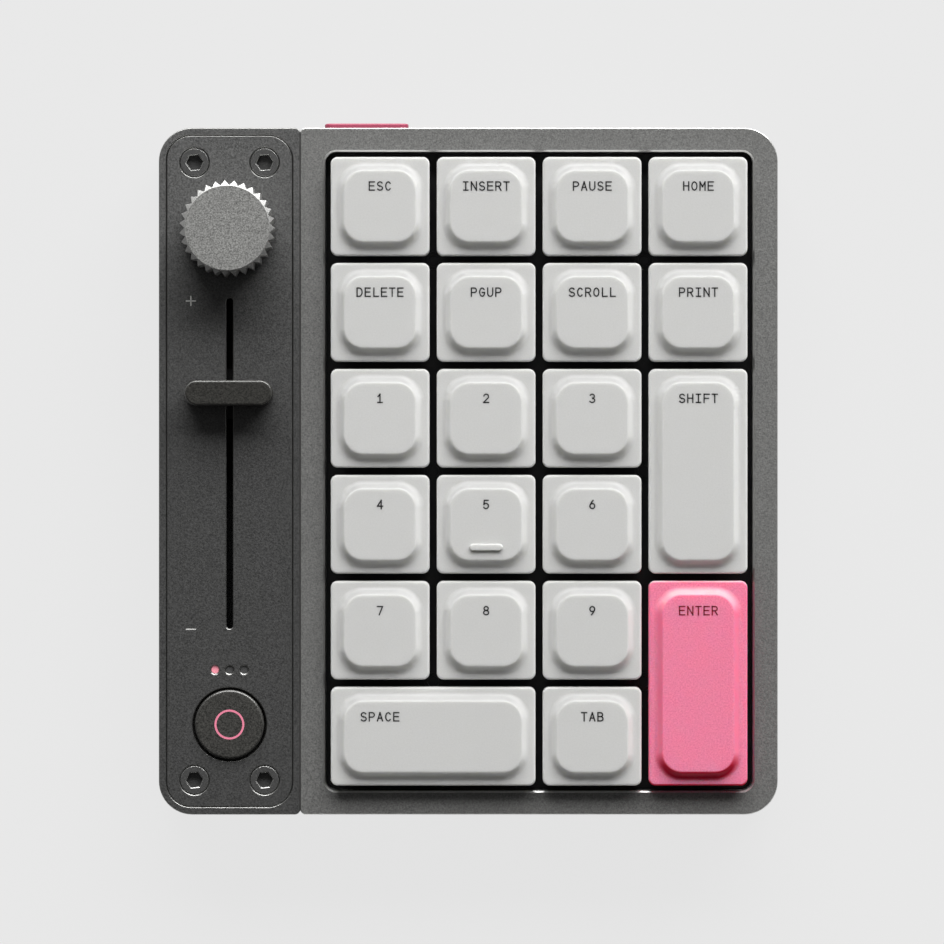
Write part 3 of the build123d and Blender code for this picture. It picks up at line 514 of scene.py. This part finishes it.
def floor_finish():
    """Pale seamless paper that keeps a soft shadow, steady where the camera or a shiny face sees it."""
    material, tree, shader = new_material("floor_paper")
    fibres = noise(tree, FLOOR_FIBRE)
    base = mix_tints(tree, remap(tree, fibres, 0, 1), shade(FLOOR_TINT, FLOOR_FIBRE_TONE), FLOOR_TINT)
    tree.links.new(base, shader.inputs["Base Color"])
    shader.inputs["Roughness"].default_value = FLOOR_ROUGHNESS
    steady = add(tree, "ShaderNodeEmission", Strength=FLOOR_STEADY)
    path = tree.nodes.new("ShaderNodeLightPath")
    seen = path.outputs["Is Camera Ray"]
    for ray in ("Is Glossy Ray", "Is Transmission Ray"):
        either = tree.nodes.new("ShaderNodeMath")
        either.operation = "MAXIMUM"
        tree.links.new(seen, either.inputs[0])
        tree.links.new(path.outputs[ray], either.inputs[1])
        seen = either.outputs["Value"]
    part = tree.nodes.new("ShaderNodeMath")
    part.operation = "MULTIPLY"
    part.inputs[1].default_value = FLOOR_STEADY_SHARE
    tree.links.new(seen, part.inputs[0])
    blend = tree.nodes.new("ShaderNodeMixShader")
    tree.links.new(part.outputs["Value"], blend.inputs["Fac"])
    tree.links.new(shader.outputs["BSDF"], blend.inputs[1])
    tree.links.new(steady.outputs["Emission"], blend.inputs[2])
    tree.links.new(blend.outputs["Shader"], tree.nodes["Material Output"].inputs["Surface"])
    return material


# Finishes by the record's slots

FINISHES = {
    "frame_metal": blasted(
        "frame_metal_blasted", FRAME_TINT, FRAME_CUT_TINT, roughness=0.55, grain=0.3 * MM,
        speckle=0.5, relief=0.25, metallic=0.1, cut_roughness=0.3,
        light_falloff=FRAME_PAINTED_FALLOFF, side_shade_share=FRAME_SIDE_SHADE_SHARE,
    ),
    "module_metal": blasted(
        "module_metal_blasted", MODULE_TINT, MODULE_CUT_TINT, roughness=0.55, grain=0.3 * MM,
        speckle=0.75, relief=0.25, metallic=0.1, cut_roughness=0.3,
        light_falloff=MODULE_PAINTED_FALLOFF, side_shade_share=MODULE_SIDE_SHADE_SHARE,
    ),
    "knob_metal": blasted(
        "knob_metal_grained", KNOB_TINT, CUT_TINT, roughness=0.5, grain=0.26 * MM,
        speckle=0.75, relief=0.4, metallic=0.2, cut_roughness=0.5,
    ),
    "dark_control": blasted(
        "dark_control_blasted", CONTROL_TINT, DARK_CUT_TINT, roughness=0.42, grain=0.3 * MM,
        speckle=0.9, relief=0.3, metallic=0.1, cut_roughness=0.4,
    ),
    "screw_steel": blasted(
        "dark_plated_steel", SCREW_TINT, CUT_TINT, roughness=0.45, grain=0.25 * MM,
        speckle=0.4, relief=0.2, metallic=0.2, cut_roughness=0.25,
    ),
    "steel": blasted(
        "plated_steel", STEEL_TINT, STEEL_TINT, roughness=0.3, grain=0.15 * MM,
        speckle=0.06, relief=0.12, metallic=1.0, cut_roughness=0.25,
    ),
    "white_plastic": moulded(
        "white_cap_moulded", WHITE_TINT,
        roughness=0.5, grain=0.3 * MM, speckle=0.04, relief=0.1,
        scatter=WHITE_SCATTER, painted_slope_tints=WHITE_PAINTED_SLOPE_TINTS,
    ),
    "pink_plastic": moulded(
        "pink_cap_moulded", PINK_TINT,
        roughness=0.42, grain=0.3 * MM, speckle=0.25, relief=0.1,
        scatter=PINK_SCATTER, painted_slope_tints=PINK_PAINTED_SLOPE_TINTS, gloss_tint=PINK_GLOSS_TINT,
    ),
    "black_plate": moulded(
        "black_plate_coated", BLACK_TINT,
        roughness=0.6, grain=0.2 * MM, speckle=0.2, relief=0.3,
    ),
    "black_plastic": moulded(
        "black_plastic_moulded", shade(BLACK_TINT, BLACK_PLASTIC_SHARE),
        roughness=0.5, grain=0.15 * MM, speckle=0.2, relief=0.2,
    ),
    "circuit_board": moulded(
        "circuit_board_mask", BOARD_TINT,
        roughness=0.3, grain=0.3 * MM, speckle=0.2, relief=0.15,
    ),
    "rubber": moulded(
        "rubber_foot_moulded", RUBBER_TINT,
        roughness=0.8, grain=0.2 * MM, speckle=0.2, relief=0.5,
    ),
    "light_pink": light_pipe("light_pipe_lit", LIT_TINT, glow=0.25),
    "light_dark": light_pipe("light_pipe_unlit", UNLIT_TINT, glow=0.0),
}
machined_walls(FINISHES["knob_metal"], WALL_TINT)

# Finishes of single nodes, in place of their slot's
NODE_FINISHES = {
    "rear_button": moulded(
        "rear_bar_moulded", REAR_PINK_TINT,
        roughness=0.5, grain=0.3 * MM, speckle=0.1, relief=0.1,
    ),
    "mode_button": blasted(
        "button_blasted", BUTTON_TINT, DARK_CUT_TINT, roughness=0.42, grain=0.3 * MM,
        speckle=0.9, relief=0.3, metallic=0.1, cut_roughness=0.4,
    ),
}
DARK_INK = printed_ink("dark_ink", INK_TINT)
RED_INK = printed_ink("dark_red_ink", RED_INK_TINT)
PALE_INK = printed_ink("pale_ink", PALE_INK_TINT)
PINK_INK = printed_ink("pink_ink", PINK_INK_TINT)


def dress_nodes():
    """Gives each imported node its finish."""
    for part in frame["record"]["subparts"]:
        mesh = nodes[part["node"]].data
        mesh.materials.clear()
        mesh.materials.append(NODE_FINISHES.get(part["node"], FINISHES[part["material_slot"]]))


# Printed pieces

def finish_piece(name, shape, material, body):
    """Turns a bmesh into a piece that rides on a body."""
    mesh = bpy.data.meshes.new(name)
    bmesh.ops.recalc_face_normals(shape, faces=shape.faces)
    shape.to_mesh(mesh)
    shape.free()
    mesh.materials.append(material)
    piece = bpy.data.objects.new(name, mesh)
    bpy.context.scene.collection.objects.link(piece)
    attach(piece, body)


def stroke_points(shares):
    """Points along a stroke, with its arcs worked out."""
    points = []
    for share in shares:
        if len(share) == 2:
            points.append(share)
            continue
        x, y, half_wide, half_tall, first, last = share
        for i in range(ARC_STEPS + 1):
            angle = math.radians(first + (last - first) * i / ARC_STEPS)
            points.append((x + half_wide * math.cos(angle), y + half_tall * math.sin(angle)))
    return [p for i, p in enumerate(points) if i == 0 or p != points[i - 1]]


def ribbon(shape, points, width, level):
    """A flat stroke of even width along some points, with square ends, printed at one level."""
    points = [Vector(p) for p in points]
    closed = (points[0] - points[-1]).length < width * CLOSED_SHARE
    if closed:
        points.pop()
    ways = [(b - a).normalized() for a, b in zip(points, points[1:])]
    if closed:
        ways.append((points[0] - points[-1]).normalized())
    else:
        points[0] = points[0] - ways[0] * width / 2
        points[-1] = points[-1] + ways[-1] * width / 2
    rows = []
    for i, point in enumerate(points):
        before = ways[i - 1] if i > 0 or closed else ways[0]
        after = ways[i] if i < len(ways) else ways[-1]
        way = (before + after).normalized()
        reach = width / 2 / max(way.dot(after), MITRE_LIMIT)
        aside = Vector((-way.y, way.x)) * reach
        row = []
        for side, z in ((1, level), (-1, level), (-1, -level), (1, -level)):
            spot = point + aside * side
            row.append(shape.verts.new((spot.x, spot.y, z)))
        rows.append(row)
    next_rows = rows[1:] + rows[:1] if closed else rows[1:]
    for here, there in zip(rows, next_rows):
        for j in range(4):
            k = (j + 1) % 4
            shape.faces.new((here[j], here[k], there[k], there[j]))
    if not closed:
        shape.faces.new(rows[0])
        shape.faces.new(reversed(rows[-1]))


def legend_shape(text, middle):
    """Characters on an even pitch, drawn in strokes of one width on a flat face."""
    shape = bmesh.new()
    wide = LEGEND_WIDTH - LEGEND_STROKE
    tall = LEGEND_HEIGHT - LEGEND_STROKE
    first = -(len(text) - 1) * LEGEND_ADVANCE / 2
    for i, letter in enumerate(text):
        left = first + i * LEGEND_ADVANCE - wide / 2
        for shares in GLYPH_SHARES[letter]:
            points = [(left + x * wide, (y - 0.5) * tall) for x, y in stroke_points(shares)]
            ribbon(shape, points, LEGEND_STROKE, INK_THICKNESS)
    bmesh.ops.translate(shape, verts=shape.verts, vec=middle)
    return shape


def add_legends():
    """A printed word on each key, in its rear left unit, at the height of a key without a homing bar."""
    plain_low, plain_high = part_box("key_1")
    unit = plain_high.x - plain_low.x
    for name, text in LEGENDS.items():
        low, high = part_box(name)
        middle = Vector((low.x + unit / 2, high.y - unit / 2 + LEGEND_RAISE, plain_high.z))
        ink = RED_INK if name == PINK_KEY else DARK_INK
        shape = legend_shape(text, middle)
        finish_piece(name.replace("key_", "legend_"), shape, ink, name + "_unit")


def bar_shape(shape, middle, length, width, turn):
    """A flat round-ended stroke."""
    half = (length - width) / 2
    ring = []
    for end in (1, -1):
        for i in range(BAR_STEPS + 1):
            angle = math.pi * (i / BAR_STEPS - 0.5)
            x = end * (half + width / 2 * math.cos(angle))
            y = end * width / 2 * math.sin(angle)
            ring.append((x * math.cos(turn) - y * math.sin(turn), x * math.sin(turn) + y * math.cos(turn)))
    low = [shape.verts.new((middle.x + x, middle.y + y, middle.z - INK_THICKNESS)) for x, y in ring]
    high = [shape.verts.new((middle.x + x, middle.y + y, middle.z + INK_THICKNESS / 2)) for x, y in ring]
    shape.faces.new(high)
    shape.faces.new(reversed(low))
    for i in range(len(ring)):
        j = (i + 1) % len(ring)
        shape.faces.new((low[i], low[j], high[j], high[i]))


def add_marks():
    """Plus and minus beside the ends of the slider's slot."""
    low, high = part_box("module_faceplate")
    axis_x = (low.x + high.x) / 2
    axis_y = (low.y + high.y) / 2
    plus = bmesh.new()
    spot = Vector((axis_x + MARK_X, axis_y + MARK_HIGH_Y, high.z))
    bar_shape(plus, spot, MARK_LENGTH, MARK_STROKE, 0)
    bar_shape(plus, spot, MARK_LENGTH, MARK_STROKE, math.pi / 2)
    finish_piece("mark_plus", plus, PALE_INK, "case")
    minus = bmesh.new()
    spot = Vector((axis_x + MARK_X, axis_y + MARK_LOW_Y, high.z))
    bar_shape(minus, spot, MARK_LENGTH, MARK_STROKE, 0)
    finish_piece("mark_minus", minus, PALE_INK, "case")


def add_button_ring():
    """Plain printed ring on the round button."""
    low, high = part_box("mode_button")
    shape = bmesh.new()
    section = [
        (RING_RADIUS - RING_STROKE / 2, -INK_THICKNESS),
        (RING_RADIUS + RING_STROKE / 2, -INK_THICKNESS),
        (RING_RADIUS + RING_STROKE / 2, INK_THICKNESS / 2),
        (RING_RADIUS - RING_STROKE / 2, INK_THICKNESS / 2),
    ]
    middle = Vector(((low.x + high.x) / 2, (low.y + high.y) / 2, high.z))
    loops = []
    for i in range(RING_STEPS):
        angle = 2 * math.pi * i / RING_STEPS
        out = Vector((math.cos(angle), math.sin(angle), 0))
        loops.append([shape.verts.new(middle + out * r + Vector((0, 0, z))) for r, z in section])
    for i in range(RING_STEPS):
        here = loops[i]
        there = loops[(i + 1) % RING_STEPS]
        for j in range(len(section)):
            k = (j + 1) % len(section)
            shape.faces.new((here[j], there[j], there[k], here[k]))
    finish_piece("button_ring", shape, PINK_INK, "mode_press")


# Stage, lights and camera

def add_floor():
    shape = bmesh.new()
    corners = [(-1, -1), (1, -1), (1, 1), (-1, 1)]
    shape.faces.new([shape.verts.new((x * FLOOR_HALF, y * FLOOR_HALF, 0)) for x, y in corners])
    mesh = bpy.data.meshes.new("floor")
    shape.to_mesh(mesh)
    shape.free()
    mesh.materials.append(floor_finish())
    floor = bpy.data.objects.new("floor", mesh)
    bpy.context.scene.collection.objects.link(floor)


def add_panel():
    """A large soft panel behind the object, low enough to light upright faces and cut edges."""
    lamp = bpy.data.lights.new("panel", "AREA")
    lamp.shape = "RECTANGLE"
    lamp.size = PANEL_WIDTH
    lamp.size_y = PANEL_HEIGHT
    lamp.energy = PANEL_POWER
    holder = bpy.data.objects.new("panel", lamp)
    level = math.cos(PANEL_ELEVATION)
    across = level * math.sin(PANEL_TURN)
    place = Vector((across, level * math.cos(PANEL_TURN), math.sin(PANEL_ELEVATION))) * PANEL_DISTANCE
    holder.location = place
    holder.rotation_euler = (-place).to_track_quat("-Z", "Y").to_euler()
    holder.visible_camera = False
    bpy.context.scene.collection.objects.link(holder)


def add_world():
    """Dim even light from above that pales towards the horizon and is darker in front."""
    world = bpy.data.worlds.new("studio")
    world.use_nodes = True
    tree = world.node_tree
    place = tree.nodes.new("ShaderNodeTexCoord")
    parts = tree.nodes.new("ShaderNodeSeparateXYZ")
    tree.links.new(place.outputs["Generated"], parts.inputs["Vector"])
    level = remap(tree, parts.outputs["Z"], HORIZON_LEVEL, SKY_LEVEL, 0.0, SKY_START)
    front = remap(tree, parts.outputs["Y"], FRONT_LEVEL, 1.0, FRONT_FROM, FRONT_TO)
    tree.links.new(multiply(tree, level, front), tree.nodes["Background"].inputs["Strength"])
    tree.nodes["Background"].inputs["Color"].default_value = (1, 1, 1, 1)
    bpy.context.scene.world = world


def add_camera():
    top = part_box("main_frame")[1].z
    low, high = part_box("module_faceplate")
    middle_y = (low.y + high.y) / 2
    camera = bpy.data.cameras.new("camera")
    camera.sensor_width = CAMERA_SENSOR
    camera.lens = CAMERA_SENSOR * CAMERA_DISTANCE / VIEW_WIDTH
    camera.clip_end = CAMERA_CLIP
    holder = bpy.data.objects.new("camera", camera)
    holder.location = (CAMERA_X, middle_y - CAMERA_FORWARD, top + CAMERA_DISTANCE)
    bpy.context.scene.collection.objects.link(holder)
    bpy.context.scene.camera = holder


dress_nodes()
add_legends()
add_marks()
add_button_ring()
add_floor()
add_panel()
add_world()
add_camera()
bpy.context.scene.view_settings.view_transform = "Standard"
